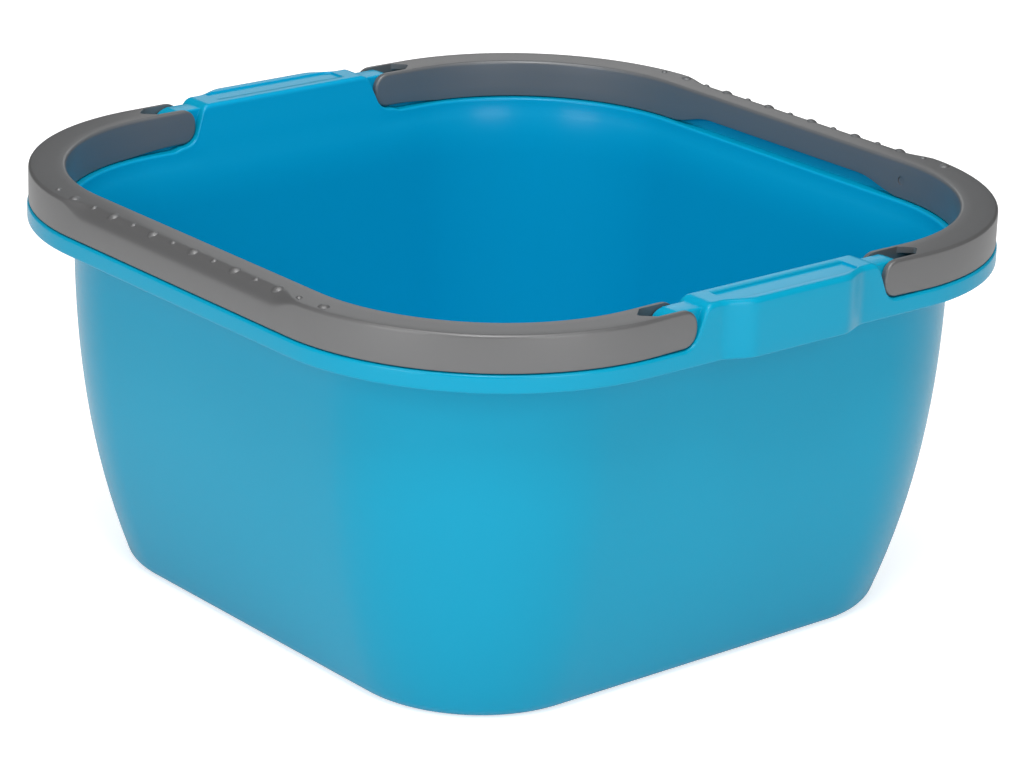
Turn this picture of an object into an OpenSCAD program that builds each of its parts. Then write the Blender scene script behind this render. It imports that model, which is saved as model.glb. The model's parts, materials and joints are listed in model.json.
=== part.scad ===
// Square washing up bowl with two fold-down carrying handles.
// The basin is one moulding. Each handle is a channel that sits over the rim's rail
// and turns on moulded studs in the four lugs of the rim.
// Origin: middle of the base, on the surface it stands on. The grips are at -X and +X.

/* [Basin] */
// Width over the rim band, the same both ways
rim_w = 360; // [340:1:400]
// Length of the straight part of each side
side_flat = 155; // [150:1:165]
// Height of the rim band's lower edge above the table
band_z = 159; // [120:1:200]
// Distance from the rim band's face in to the basin wall
wall_inset = 20.3; // [19:0.1:24]
// How far the wall draws in from the rim to the base
taper = 25.3; // [12:0.1:32]
// Bow of the wall, where 1 is a straight slope
taper_power = 2.4; // [1.2:0.1:3]
// Wall thickness
wall_t = 2.2; // [1.6:0.1:2.8]
// Floor thickness
floor_t = 2.6; // [1.8:0.1:4]
// Outer radius between wall and base
base_r = 8; // [5:0.5:12]
// Inner radius between wall and floor
floor_r = 9; // [5:0.5:14]
// Height of the foot ring
foot_h = 1.2; // [0.6:0.1:2.5]
// Width of the foot ring
foot_w = 6; // [3:0.5:10]

/* [Rim] */
// Height of the rim band's face
band_h = 7.7; // [6:0.1:12]
// Radius of the band's upper edge
band_edge_r = 1.3; // [0.5:0.1:2]
// How much lower the inner ledge lies than the outer one
inner_drop = 1.5; // [0.5:0.1:2.5]
// Radius from the inner ledge down into the basin
lip_r = 3.6; // [2:0.1:4]
// Height of the rail above the outer ledge
rail_h = 9.3; // [6:0.1:10]
// How much each side of the rail leans in
rail_draft = 0.7; // [0.6:0.1:1]
// Thickness of the ribs under the rim
rib_t = 1.8; // [1.2:0.1:2.4]
// How far the ribs' feet on the wall lie above the band's lower edge
rib_rise = 1; // [0:0.5:2]
// Ribs within each corner
corner_ribs = 2; // [1:1:4]

/* [Saddle] */
// Height of the saddle above the outer ledge
saddle_h = 17.3; // [16.5:0.1:22]
// How far the pad stands out past the rim band
pad_out = 5.3; // [3:0.1:8]
// Width of the pad's flat face
pad_flat = 48; // [30:1:60]
// Width of the pad at its root
pad_root = 81; // [76:1:84]
// Radius of the saddle's long upper edges
saddle_edge_r = 2.2; // [1:0.1:3]
// Radius between the saddle's top and its end faces
saddle_end_r = 4.5; // [2:0.5:6]
// How much the saddle's inner face leans
saddle_lean = 2.3; // [1:0.1:3]
// Lean of the end faces that stop the raised handles, in degrees
stop_lean = 22; // [21:0.5:28]
// Length of the sunk panel on top
panel_l = 73; // [50:1:76]
// Width of the sunk panel
panel_w = 10.5; // [6:0.5:12]
// Depth of the sunk panel
panel_d = 0.8; // [0.4:0.1:1.2]
// Spacing of the ribs inside the saddle
saddle_rib_pitch = 22; // [16:1:26]

/* [Pivots] */
// Distance between the two handles' pivot axes
pivot_span = 120; // [116:1:122]
// Diameter of the studs
stud_d = 6; // [4:0.1:7]
// Chamfer at the tip of each stud
stud_chamfer = 0.6; // [0.3:0.1:1]
// Thickness of the lug's two walls that carry the bores
lug_wall = 3; // [2.4:0.1:3.6]
// Height of the tongue above the outer ledge
tongue_h = 14.4; // [13.5:0.1:14.6]

/* [Handle] */
// Width over the handle's channel
handle_w = 16.4; // [15.6:0.1:16.8]
// How far the handle is set back from the rim band's face
handle_inset = 0.6; // [0.3:0.1:1.2]
// Height of the handle's outer cheek
cheek_h = 15.8; // [15.4:0.1:16.2]
// Thickness of the two cheeks
cheek_t = 2.6; // [2:0.1:2.8]
// Thickness of the web that joins them
web_t = 2.6; // [2:0.1:3.2]
// Radius of the handle's upper edges
edge_r = 1.5; // [0.8:0.1:2]
// Distance from the pivot axis to the end of the web
web_start = 17.2; // [16.5:0.1:17.4]
// Radius round the edge of the cheeks' round ends
cheek_edge_r = 0.6; // [0.3:0.1:1]
// Chamfer in the channel's inner corners
channel_chamfer = 0.6; // [0.4:0.1:1.2]
// Thickness of the ribs inside the channel
channel_rib_t = 1.6; // [1.2:0.1:2.4]
// Ribs inside the channel along the grip
grip_ribs = 5; // [3:1:7]
// Ribs inside the channel round each corner
bend_ribs = 3; // [1:1:5]

/* [Grip] */
// Radius of the grip's outer upper edge
grip_r = 7; // [4:0.5:7.5]
// Length of the grip's full section
grip_l = 132; // [110:1:140]
// Length over which the grip blends into the corner
grip_blend = 18; // [10:1:24]
// Height of the finger relief in the inner cheek
relief_h = 5.1; // [2:0.1:6]
// Length of the full relief
relief_l = 100; // [70:1:110]
// Length of the ramp at each end of the relief
relief_ramp = 26; // [15:1:30]
// Spacing of the grip's bumps
bump_pitch = 14.4; // [12:0.1:14.4]
// Number of bumps, small and large in turn
bump_count = 14; // [8:2:14]
// Diameter of the large bumps
bump_big_d = 6; // [4:0.1:6.5]
// Diameter of the small bumps
bump_small_d = 3.6; // [2:0.1:4]
// Height of the large bumps
bump_h = 0.9; // [0.4:0.1:1]
// Distance of the bumps from the handle's outer face
bump_inset = 4.9; // [4:0.1:6]
// Diameter of the round moulding mark on each handle's inner cheek
mark_d = 4; // [2:0.5:6]
// Depth of the moulding mark
mark_depth = 0.4; // [0.2:0.1:0.8]

/* [Clearances] */
// Gap between the handle's cheeks and the lugs
side_gap = 0.4; // [0.3:0.05:0.6]
// Gap under the folded handle
rest_gap = 0.5; // [0.3:0.05:0.8]
// Gap round the handle's round ends
end_gap = 0.7; // [0.5:0.05:1]
// Radial clearance of the studs in their bores
pivot_gap = 0.06; // [0.03:0.01:0.09]

/* [Hidden] */
$fn = 96;

rim_half = rim_w / 2;
flat_half = side_flat / 2;
corner_r = rim_half - flat_half;
pivot_x = pivot_span / 2;

// Heights
ledge_z = band_z + band_h;
inner_ledge_z = ledge_z - inner_drop;
rail_top = ledge_z + rail_h;
handle_z = ledge_z + rest_gap;
handle_top = handle_z + cheek_h;
web_under = handle_top - web_t;
cheek_r = cheek_h / 2;
pivot_z = handle_z + cheek_r;
saddle_top = ledge_z + saddle_h;
tongue_top = ledge_z + tongue_h;
floor_top = foot_h + floor_t;
lower_wall_z = inner_ledge_z - wall_t;

// Distances in from the rim band's face
cheek_in = handle_inset + cheek_t;
rail_out = cheek_in + side_gap;
inner_face = handle_inset + handle_w;
inner_cheek = inner_face - cheek_t;
rail_in = inner_cheek - side_gap;
inner_wall_inset = wall_inset + wall_t;
ledge_in = inner_wall_inset - lip_r;
saddle_in = ledge_in - saddle_lean;
rail_mid = (rail_out + rail_in) / 2;

recess_r = cheek_r + end_gap;
bore_r = stud_d / 2 + pivot_gap;
stud_l = side_gap + lug_wall;
channel_rib_z = rail_top + rest_gap;

// Cuts run past the faces that they open by this much
over = 1;
wall_steps = 14;
edge_steps = 4;
corner_steps = 24;
grip_steps = 24;
blue = [0.1, 0.6, 0.78];
grey = [0.45, 0.45, 0.46];

function smooth(t) = let (c = min(max(t, 0), 1)) c * c * (3 - 2 * c);

function arc(x, y, r, from, to, steps) =
    [for (k = [0:steps]) let (a = from + (to - from) * k / steps) [x + r * cos(a), y + r * sin(a)]];

// Section points are given as the distance in from the band's face, and the height.
// These turn them into the distance out from the corner's centre.
function out(inset) = corner_r - inset;
function outward(points) = [for (p = points) [out(p[0]), p[1]]];

function wall_in(z) = wall_inset + taper * pow(1 - z / band_z, taper_power);
function wall_slope(z) = atan(taper * taper_power * pow(1 - z / band_z, taper_power - 1) / band_z);

// Height at which a fillet of radius r on a level surface at z0 runs into the wall
function fillet_end(z0, r) = z0 + r * (1 - sin(wall_slope(z0 + r / 2)));

// Basin: one section, swept round the four corners and along the four sides
function outer_wall() =
    let (slope = wall_slope(base_r / 2), z0 = fillet_end(0, base_r))
    let (centre = out(wall_in(z0)) - base_r * cos(slope))
    concat(
        [[0, foot_h], [centre - foot_w - foot_h, foot_h], [centre - foot_w, 0]],
        arc(centre, base_r, base_r, -90, -slope, edge_steps + 2),
        [for (k = [1:wall_steps]) let (z = z0 + (min(band_z, lower_wall_z) - z0) * k / wall_steps)
            [out(wall_in(z)), z]]
    );

function inner_wall() =
    let (slope = wall_slope(floor_top + floor_r / 2), z0 = fillet_end(floor_top, floor_r))
    let (z1 = inner_ledge_z - lip_r, centre = out(wall_in(z0) + wall_t) - floor_r * cos(slope))
    concat(
        [for (k = [0:wall_steps - 1]) let (z = z1 + (z0 - z1) * k / wall_steps)
            [out(wall_in(min(z, band_z)) + wall_t), z]],
        arc(centre, floor_top + floor_r, floor_r, -slope, -90, edge_steps + 2),
        [[0, floor_top]]
    );

function rim_underside() = outward([
    [wall_inset, lower_wall_z],
    [rail_in - wall_t, lower_wall_z],
    [rail_in - wall_t - rail_draft, rail_top - wall_t],
    [rail_out + wall_t + rail_draft, rail_top - wall_t],
    [rail_out + wall_t, ledge_z - wall_t],
    [wall_t, ledge_z - wall_t],
    [wall_t, band_z],
    [wall_t / 4, band_z],
    [0, band_z + wall_t / 4]
]);

function rim_top() = concat(
    arc(out(band_edge_r), ledge_z - band_edge_r, band_edge_r, 0, 90, edge_steps),
    outward([
        [rail_out, ledge_z],
        [rail_out + rail_draft, rail_top - wall_t / 4],
        [rail_out + rail_draft + wall_t / 4, rail_top],
        [rail_in - rail_draft - wall_t / 4, rail_top],
        [rail_in - rail_draft, rail_top - wall_t / 4],
        [rail_in, inner_ledge_z]
    ]),
    arc(out(ledge_in), inner_ledge_z - lip_r, lip_r, 90, 180, edge_steps)
);

module basin_section() {
    polygon(concat(outer_wall(), rim_underside(), rim_top(), inner_wall()));
}

module basin() {
    translate([-flat_half, -flat_half, foot_h])
        cube([side_flat, side_flat, floor_t]);
    for (turn = [0, 90, 180, 270])
        rotate(turn) {
            translate([flat_half, flat_half, 0])
                rotate_extrude(angle = 90)
                    basin_section();
            translate([flat_half, flat_half, 0])
                rotate([90, 0, 0])
                    linear_extrude(side_flat)
                        basin_section();
        }
}

// Gusset under the rim, from the band in to the wall, in the same section coordinates
module rim_rib() {
    rotate([90, 0, 0])
        translate([0, 0, -rib_t / 2])
            linear_extrude(rib_t)
                polygon(outward([
                    [wall_t / 2, ledge_z - wall_t / 2],
                    [wall_t / 2, band_z + wall_t],
                    [wall_inset + wall_t / 2, band_z + rib_rise],
                    [wall_inset + wall_t / 2, inner_ledge_z - wall_t / 2],
                    [rail_in, inner_ledge_z - wall_t / 2],
                    [rail_out, ledge_z - wall_t / 2]
                ]));
}

module rim_ribs() {
    for (turn = [0, 90, 180, 270])
        rotate(turn)
            translate([flat_half, flat_half, 0])
                for (k = [0:corner_ribs + 1])
                    rotate(k * 90 / (corner_ribs + 1))
                        rim_rib();
    for (side = [0, 180])
        rotate(side)
            for (k = [-1:1])
                translate([flat_half, k * flat_half / 2, 0])
                    rim_rib();
}

// The saddle and its lugs are drawn for the +Y side: x along the side, y out from the middle
module along_side(length) {
    translate([-length / 2, 0, 0])
        rotate([90, 0, 90])
            linear_extrude(length)
                children();
}

module across_side(y_from, y_to) {
    translate([0, y_to, 0])
        rotate([90, 0, 0])
            linear_extrude(y_to - y_from)
                children();
}

function at_y(points) = [for (p = points) [rim_half - p[0], p[1]]];

module saddle_section() {
    r = saddle_edge_r;
    polygon(concat(
        at_y([[wall_t, ledge_z - wall_t / 2], [wall_t, band_z], [-pad_out, band_z]]),
        arc(rim_half + pad_out - r, saddle_top - r, r, 0, 90, edge_steps),
        arc(rim_half - saddle_in + r, saddle_top - r, r, 90, 180, edge_steps),
        at_y([[inner_wall_inset, inner_ledge_z - lip_r], [ledge_in, inner_ledge_z - wall_t / 2]])
    ));
}

// Left end of the saddle seen from outside, at a distance from the pivot: it goes round
// the handle's end, leans away as a stop for the raised handle and rounds over to the top
function stop_x(z, distance) =
    -pivot_x + (distance + sin(stop_lean) * (z - pivot_z)) / cos(stop_lean);

function saddle_end(distance, top, r) = concat(
    [[-pivot_x, ledge_z - wall_t / 2]],
    arc(-pivot_x, pivot_z, distance, -90, -stop_lean, 8),
    arc(stop_x(top - r, distance) + r / cos(stop_lean), top - r, r, 180 - stop_lean, 90, 2 * edge_steps)
);

function flip_x(points) = [for (k = [len(points) - 1:-1:0]) [-points[k][0], points[k][1]]];

module saddle_elevation() {
    left = concat(
        [[-pad_root / 2, band_z - over], [-pad_root / 2, ledge_z - wall_t / 2]],
        saddle_end(recess_r, saddle_top, saddle_end_r)
    );
    polygon(concat(left, flip_x(left)));
}

// Plan of the pad: root and flat widths with a smooth shoulder between them. On the inside
// it runs out over the basin's lip between the stop face and the pivot.
module pad_plan(root, flat, depth, back) {
    steps = 8;
    shoulder = [for (k = [0:steps]) let (t = k / steps)
        [-root / 2 + (root - flat) / 2 * t, rim_half + back + (depth - back) * smooth(t)]];
    polygon(concat(
        [[recess_r - pivot_x, rim_half - inner_wall_inset], [-pivot_x, rim_half - ledge_in]],
        [[-pivot_x, rim_half + back]],
        shoulder,
        flip_x(shoulder),
        [[pivot_x, rim_half + back]],
        [[pivot_x, rim_half - ledge_in], [pivot_x - recess_r, rim_half - inner_wall_inset]]
    ));
}

module saddle_block() {
    intersection() {
        along_side(2 * pivot_x)
            saddle_section();
        across_side(rim_half - inner_wall_inset, rim_half + pad_out + over)
            saddle_elevation();
        linear_extrude(saddle_top + over)
            pad_plan(pad_root, pad_flat, pad_out, 0);
    }
}

// Space inside the saddle, open below
module saddle_hollow() {
    hollow_top = saddle_top - panel_d - wall_t;
    hollow_in = inner_wall_inset - 2 * wall_t;
    left = concat(
        [[-pivot_x, band_z - over]],
        saddle_end(recess_r + wall_t, hollow_top, max(saddle_end_r - wall_t, wall_t / 2))
    );
    intersection() {
        along_side(2 * pivot_x)
            polygon(at_y([
                [-pad_out + wall_t, band_z - over],
                [-pad_out + wall_t, hollow_top],
                [saddle_in - wall_t, hollow_top],
                [hollow_in, inner_ledge_z],
                [hollow_in, band_z - over]
            ]));
        across_side(rim_half - inner_wall_inset, rim_half + pad_out)
            polygon(concat(left, flip_x(left)));
        linear_extrude(saddle_top)
            pad_plan(pad_root - wall_t, pad_flat - wall_t, pad_out - wall_t, -wall_t);
    }
}

module saddle_ribs() {
    intersection() {
        for (k = [-1:1])
            translate([k * saddle_rib_pitch, 0, 0])
                along_side(rib_t)
                    polygon(at_y([
                        [-pad_out + wall_t / 2, band_z + wall_t],
                        [-pad_out + wall_t / 2, saddle_top - panel_d - wall_t / 2],
                        [saddle_in - wall_t / 2, saddle_top - panel_d - wall_t / 2],
                        [wall_inset - wall_t / 2, inner_ledge_z],
                        [wall_inset + wall_t / 2, lower_wall_z + wall_t / 2],
                        [wall_inset + wall_t / 2, band_z + rib_rise]
                    ]));
        linear_extrude(saddle_top)
            pad_plan(pad_root, pad_flat, pad_out - wall_t / 2, 0);
    }
}

// Lug seen from outside: a tongue from the saddle that ends in a barrel round the pivot
module lug_elevation(radius, top, root_x) {
    union() {
        polygon([
            [-pivot_x, ledge_z - wall_t / 2],
            [-root_x, ledge_z - wall_t / 2],
            [-root_x, top],
            [-pivot_x, top]
        ]);
        translate([-pivot_x, pivot_z])
            circle(radius);
        polygon([
            [-pivot_x - radius, ledge_z - wall_t / 2],
            [-pivot_x, ledge_z - wall_t / 2],
            [-pivot_x, pivot_z],
            [-pivot_x - radius, pivot_z]
        ]);
    }
}

module lug() {
    across_side(rim_half - rail_in, rim_half - rail_out)
        lug_elevation(cheek_r, tongue_top, pad_root / 2);
}

// Space between the lug's two walls, open below
module lug_hollow() {
    across_side(rim_half - rail_in + lug_wall, rim_half - rail_out - lug_wall)
        union() {
            lug_elevation(cheek_r - wall_t, tongue_top - wall_t, pad_root / 2 - wall_t);
            translate([-pivot_x - cheek_r + wall_t, band_z])
                square([pivot_x + cheek_r - pad_root / 2, band_h]);
        }
}

module pivot_bore() {
    translate([-pivot_x, rim_half - rail_in - over, pivot_z])
        rotate([-90, 0, 0])
            cylinder(r = bore_r, h = rail_in - rail_out + 2 * over);
}

module both_ends() {
    children();
    mirror([1, 0, 0])
        children();
}

module both_sides() {
    children();
    mirror([0, 1, 0])
        children();
}

module panel() {
    translate([-panel_l / 2, rim_half - (saddle_in - pad_out) / 2 - panel_w / 2, saddle_top - panel_d])
        cube([panel_l, panel_w, 2 * panel_d]);
}

module bowl() {
    color(blue) {
        difference() {
            union() {
                basin();
                both_sides() {
                    saddle_block();
                    both_ends()
                        lug();
                }
            }
            both_sides() {
                saddle_hollow();
                panel();
                both_ends() {
                    lug_hollow();
                    pivot_bore();
                }
            }
        }
        rim_ribs();
        both_sides()
            saddle_ribs();
    }
}

// Handle: the channel's section changes along the rim, so it is lofted through stations.
// A station is a point on the rim band's face with its outward direction.
function corner_stations(cy, from, to) =
    [for (k = [0:corner_steps]) let (a = from + (to - from) * k / corner_steps)
        [-flat_half + corner_r * cos(a), cy + corner_r * sin(a), cos(a), sin(a)]];

stations = concat(
    [[-pivot_x, -rim_half, 0, -1]],
    corner_stations(-flat_half, 270, 180),
    [for (k = [1:grip_steps - 1]) [-rim_half, -flat_half + side_flat * k / grip_steps, -1, 0]],
    corner_stations(flat_half, 180, 90),
    [[-pivot_x, rim_half, 0, 1]]
);

function on_grip(y) = 1 - smooth((abs(y) - grip_l / 2) / grip_blend);
function outer_edge_r(y) = edge_r + (grip_r - edge_r) * on_grip(y);

// Lower edge of the inner cheek: level with the outer one at the pivots, lower round the
// corners, and raised along the grip to let the fingers in
function inner_low(x, y) =
    let (relief = relief_h * (1 - smooth((abs(y) - relief_l / 2) / relief_ramp)))
    let (dip = inner_drop * smooth((abs(x) - pivot_x - cheek_r) / relief_ramp))
    handle_z - dip + relief;

function channel_section(ro, low) =
    let (o = handle_inset, c = channel_chamfer, grip_c = max(c, ro - web_t))
    concat(
        [[o, handle_z]],
        arc(o + ro, handle_top - ro, ro, 180, 90, outer_arc_steps),
        arc(inner_face - edge_r, handle_top - edge_r, edge_r, 90, 0, inner_arc_steps),
        [[inner_face, low], [inner_cheek, low]],
        [[inner_cheek, web_under - c], [inner_cheek - c, web_under]],
        [[cheek_in + grip_c, web_under], [cheek_in, web_under - grip_c]],
        [[cheek_in, handle_z]]
    );

function station_ring(s) =
    [for (p = channel_section(outer_edge_r(s[1]), inner_low(s[0], s[1])))
        [s[0] - s[2] * p[0], s[1] - s[3] * p[0], p[1]]];

// The section's points in order: outer face, outer edge, top, inner edge, inner face, then
// back along the channel's inside. A cap over them is cut into convex pieces.
outer_arc_steps = 6;
inner_arc_steps = 4;
top_a = 1 + outer_arc_steps;
top_b = top_a + 1;
face_top = top_b + inner_arc_steps;
channel_cap = [
    [0, 1, face_top + 6, face_top + 7],
    concat([for (k = [1:top_a]) k], [face_top + 5, face_top + 6]),
    [top_a, top_b, face_top + 4, face_top + 5],
    concat([for (k = [top_b:face_top]) k], [face_top + 3, face_top + 4]),
    [face_top, face_top + 1, face_top + 2, face_top + 3]
];

function reversed(list) = [for (k = [len(list) - 1:-1:0]) list[k]];

module channel_loft(rings) {
    n = len(rings[0]);
    last = (len(rings) - 1) * n;
    polyhedron(
        points = [for (ring = rings) for (p = ring) p],
        faces = concat(
            channel_cap,
            [for (r = [0:len(rings) - 2]) for (k = [0:n - 1])
                [r * n + k, (r + 1) * n + k, (r + 1) * n + (k + 1) % n]],
            [for (r = [0:len(rings) - 2]) for (k = [0:n - 1])
                [r * n + k, (r + 1) * n + (k + 1) % n, r * n + (k + 1) % n]],
            [for (face = channel_cap) reversed([for (k = face) last + k])]
        ),
        convexity = 6
    );
}

// Round end of a cheek with its upper edge softened, axis along +Z, outer face at z = 0
module cheek_end() {
    rotate_extrude()
        polygon(concat(
            [[0, 0]],
            arc(cheek_r - cheek_edge_r, cheek_edge_r, cheek_edge_r, -90, 0, edge_steps),
            [[cheek_r, cheek_t], [0, cheek_t]]
        ));
}

module stud() {
    rotate_extrude()
        polygon([
            [0, -cheek_t / 2],
            [stud_d / 2, -cheek_t / 2],
            [stud_d / 2, stud_l - stud_chamfer],
            [stud_d / 2 - stud_chamfer, stud_l],
            [0, stud_l]
        ]);
}

// Both cheeks' ends and studs, on the +Y side
module pivot_end() {
    translate([-pivot_x, rim_half - handle_inset, pivot_z])
        rotate([90, 0, 0])
            cheek_end();
    translate([-pivot_x, rim_half - cheek_in, pivot_z])
        rotate([90, 0, 0])
            stud();
    translate([-pivot_x, rim_half - inner_face, pivot_z])
        rotate([-90, 0, 0])
            cheek_end();
    translate([-pivot_x, rim_half - inner_cheek, pivot_z])
        rotate([-90, 0, 0])
            stud();
}

// The web stops short of the pivot in a round-ended notch, so that the lug shows between the cheeks
module web_notch() {
    notch_r = (inner_cheek - cheek_in) / 2;
    translate([-pivot_x - web_start + notch_r, rim_half - rail_mid, handle_z])
        linear_extrude(cheek_h + over)
            union() {
                circle(notch_r);
                translate([0, -notch_r])
                    square([web_start + cheek_r, 2 * notch_r]);
            }
}

function bump_place(y) =
    let (past = max(abs(y) - flat_half, 0), r = corner_r - handle_inset - bump_inset)
    let (a = asin(past / r))
    [flat_half + r * cos(a), sign(y) * a];

// A low dome that stands on the grip's rounded shoulder
module bump(y, d, h) {
    ro = outer_edge_r(y);
    lean = asin(max(0, ro - bump_inset) / ro);
    place = bump_place(y);
    dome_r = (d * d / 4 + h * h) / (2 * h);
    translate([-place[0], y, handle_top - ro + ro * cos(lean)])
        rotate(-place[1])
            rotate([0, -lean, 0])
                translate([0, 0, h - dome_r])
                    intersection() {
                        sphere(dome_r, $fn = 32);
                        translate([0, 0, dome_r - h - web_t / 2])
                            cylinder(d = d, h = web_t, $fn = 32);
                    }
}

module bumps() {
    for (k = [0:bump_count - 1]) {
        y = (k - (bump_count - 1) / 2) * bump_pitch;
        if (k % 2 == 0)
            bump(y, bump_big_d, bump_h);
        else
            bump(y, bump_small_d, bump_h / 2);
    }
}

// Cross ribs under the web, clear of the rail
module channel_rib() {
    translate([cheek_in - cheek_t / 2 - corner_r, -channel_rib_t / 2, channel_rib_z])
        cube([handle_w - cheek_t, channel_rib_t, web_under + web_t / 2 - channel_rib_z]);
}

module channel_ribs() {
    for (k = [1:grip_ribs])
        translate([-flat_half, -flat_half + side_flat * k / (grip_ribs + 1), 0])
            channel_rib();
    for (side = [-1, 1])
        for (k = [1:bend_ribs])
            translate([-flat_half, side * flat_half, 0])
                rotate(-side * 90 * k / (bend_ribs + 1))
                    channel_rib();
}

module moulding_mark() {
    translate([inner_face - rim_half, -flat_half, (handle_z + web_under) / 2])
        rotate([0, -90, 0])
            cylinder(d = mark_d, h = 2 * mark_depth, center = true);
}

module handle() {
    difference() {
        union() {
            channel_loft([for (s = stations) station_ring(s)]);
            channel_ribs();
            bumps();
        }
        both_sides()
            web_notch();
        moulding_mark();
    }
    both_sides()
        pivot_end();
}

module left_handle() {
    color(grey)
        handle();
}

module right_handle() {
    color(grey)
        mirror([1, 0, 0])
            handle();
}

bowl();
left_handle();
right_handle();
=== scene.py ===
import json
import math

import bmesh
import bpy
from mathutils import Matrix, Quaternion, Vector


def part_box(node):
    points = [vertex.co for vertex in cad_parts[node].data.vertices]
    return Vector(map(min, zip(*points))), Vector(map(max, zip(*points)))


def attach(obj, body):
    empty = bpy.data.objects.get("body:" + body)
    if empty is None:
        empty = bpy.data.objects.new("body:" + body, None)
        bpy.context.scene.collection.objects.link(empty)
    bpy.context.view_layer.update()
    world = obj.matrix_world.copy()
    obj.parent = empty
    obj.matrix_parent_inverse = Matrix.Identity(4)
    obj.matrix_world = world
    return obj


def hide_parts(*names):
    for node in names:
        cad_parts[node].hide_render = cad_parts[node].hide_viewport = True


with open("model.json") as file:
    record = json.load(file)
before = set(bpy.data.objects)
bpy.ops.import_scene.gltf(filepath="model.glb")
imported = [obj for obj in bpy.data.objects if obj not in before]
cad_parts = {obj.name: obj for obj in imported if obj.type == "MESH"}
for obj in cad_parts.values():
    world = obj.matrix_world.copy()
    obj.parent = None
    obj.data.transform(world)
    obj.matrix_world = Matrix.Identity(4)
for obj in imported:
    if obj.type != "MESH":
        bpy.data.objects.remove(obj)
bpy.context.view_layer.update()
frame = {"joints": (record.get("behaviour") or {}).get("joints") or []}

# Sizes are millimetres and become metres where a vertex is placed
mm = 0.001
bowlLow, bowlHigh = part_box("bowl")
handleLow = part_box("left_handle")[0]
pivot = Vector(frame["joints"][0]["pos_m"]) / mm

rimHalf = -bowlLow.x / mm
sideHalf = 77.5
cornerRadius = rimHalf - sideHalf
pivotAcross = abs(pivot.x)
pivotHeight = pivot.z
quadrants = ((1, 1), (-1, 1), (1, -1), (-1, -1))
thirds = (0.33, 0.67)


def smooth(t):
    t = min(max(t, 0.0), 1.0)
    return t * t * (3 - 2 * t)


def mix(a, b, t):
    return a + (b - a) * t


def steps(a, b, count):
    return [mix(a, b, k / count) for k in range(count + 1)]


def arc(x, z, radius, start, end, count):
    # Points on an arc, angles in degrees
    angles = [math.radians(a) for a in steps(start, end, count)]
    return [(x + radius * math.cos(a), z + radius * math.sin(a)) for a in angles]


# A station is a point on the rim band's face with its outward direction
middleStation = (0.0, 0.0, 1.0, 0.0)


def place(station, inset, z):
    x, y, dx, dy = station
    return Vector((x - dx * inset, y - dy * inset, z)) * mm


def sideStation(x):
    return (-x, rimHalf, 0.0, 1.0)


def gripStation(y):
    return (-rimHalf, y, -1.0, 0.0)


def cornerStation(turn):
    c, s = math.cos(math.radians(turn)), math.sin(math.radians(turn))
    return (-sideHalf + cornerRadius * c, sideHalf + cornerRadius * s, c, s)


def cornerStations(count):
    return [cornerStation(a) for a in steps(90, 180, count)[1:-1]]


def mirrorStation(station, x, y):
    return (x * station[0], y * station[1], x * station[2], y * station[3])


# Mesh helpers: a piece is drawn as a ring, extruded from ring to ring, and mirrored
def selectOnly(*objects):
    bpy.ops.object.select_all(action="DESELECT")
    for item in objects:
        item.select_set(True)
    bpy.context.view_layer.objects.active = objects[0]


def drawRing(name, points, closed=True):
    bpy.ops.object.select_all(action="DESELECT")
    bpy.ops.mesh.primitive_circle_add(vertices=len(points), radius=mm)
    ring = bpy.context.object
    ring.name = ring.data.name = name
    for vertex, point in zip(ring.data.vertices, points):
        vertex.co = point
    if not closed:
        last = {0, len(points) - 1}
        for edge in ring.data.edges:
            edge.select = set(edge.vertices) == last
        for vertex in ring.data.vertices:
            vertex.select = vertex.index in last
        bpy.ops.object.mode_set(mode="EDIT")
        bpy.ops.mesh.select_mode(type="EDGE")
        bpy.ops.mesh.delete(type="EDGE")
        bpy.ops.object.mode_set(mode="OBJECT")
    return ring


def extrudeRings(piece, rings):
    selectOnly(piece)
    bpy.ops.object.mode_set(mode="EDIT")
    bpy.ops.mesh.select_mode(type="VERT")
    bpy.ops.mesh.select_all(action="SELECT")
    order = list(range(len(rings[0])))
    for points in rings[1:]:
        bpy.ops.mesh.extrude_region_move()
        mesh = bmesh.from_edit_mesh(piece.data)
        mesh.verts.ensure_lookup_table()
        mesh.verts.index_update()
        fresh = []
        for index, point in zip(order, points):
            old = mesh.verts[index]
            new = next(e.other_vert(old) for e in old.link_edges if e.other_vert(old).select)
            new.co = point
            fresh.append(new.index)
        order = fresh
        bmesh.update_edit_mesh(piece.data)
    bpy.ops.object.mode_set(mode="OBJECT")
    return piece


def tidyMesh(piece, fill=False):
    # Merges doubles, closes what is open and turns the faces outwards
    selectOnly(piece)
    bpy.ops.object.mode_set(mode="EDIT")
    bpy.ops.mesh.select_all(action="SELECT")
    bpy.ops.mesh.remove_doubles(threshold=0.01 * mm)
    bpy.ops.mesh.dissolve_degenerate(threshold=0.005 * mm)
    if fill:
        bpy.ops.mesh.select_all(action="SELECT")
        bpy.ops.mesh.fill_holes(sides=0)
    bpy.ops.mesh.select_all(action="SELECT")
    bpy.ops.mesh.normals_make_consistent(inside=False)
    bpy.ops.object.mode_set(mode="OBJECT")


def applyModifier(piece, kind, **settings):
    selectOnly(piece)
    modifier = piece.modifiers.new(kind.lower(), kind)
    for key, value in settings.items():
        setattr(modifier, key, value)
    bpy.ops.object.modifier_apply(modifier=modifier.name)


def mirrorPiece(piece, x, y):
    applyModifier(piece, "MIRROR", use_axis=(x, y, False), merge_threshold=0.02 * mm)


def combine(piece, tool, operation):
    applyModifier(piece, "BOOLEAN", object=tool, operation=operation, solver="EXACT")
    bpy.data.objects.remove(tool)


def joinAll(parts):
    selectOnly(*parts)
    bpy.ops.object.join()
    return bpy.context.object


def bakePlace(piece):
    # The finished piece sits at the origin with its place in its mesh
    selectOnly(piece)
    bpy.ops.object.transform_apply(location=True, rotation=True, scale=True)


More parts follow.
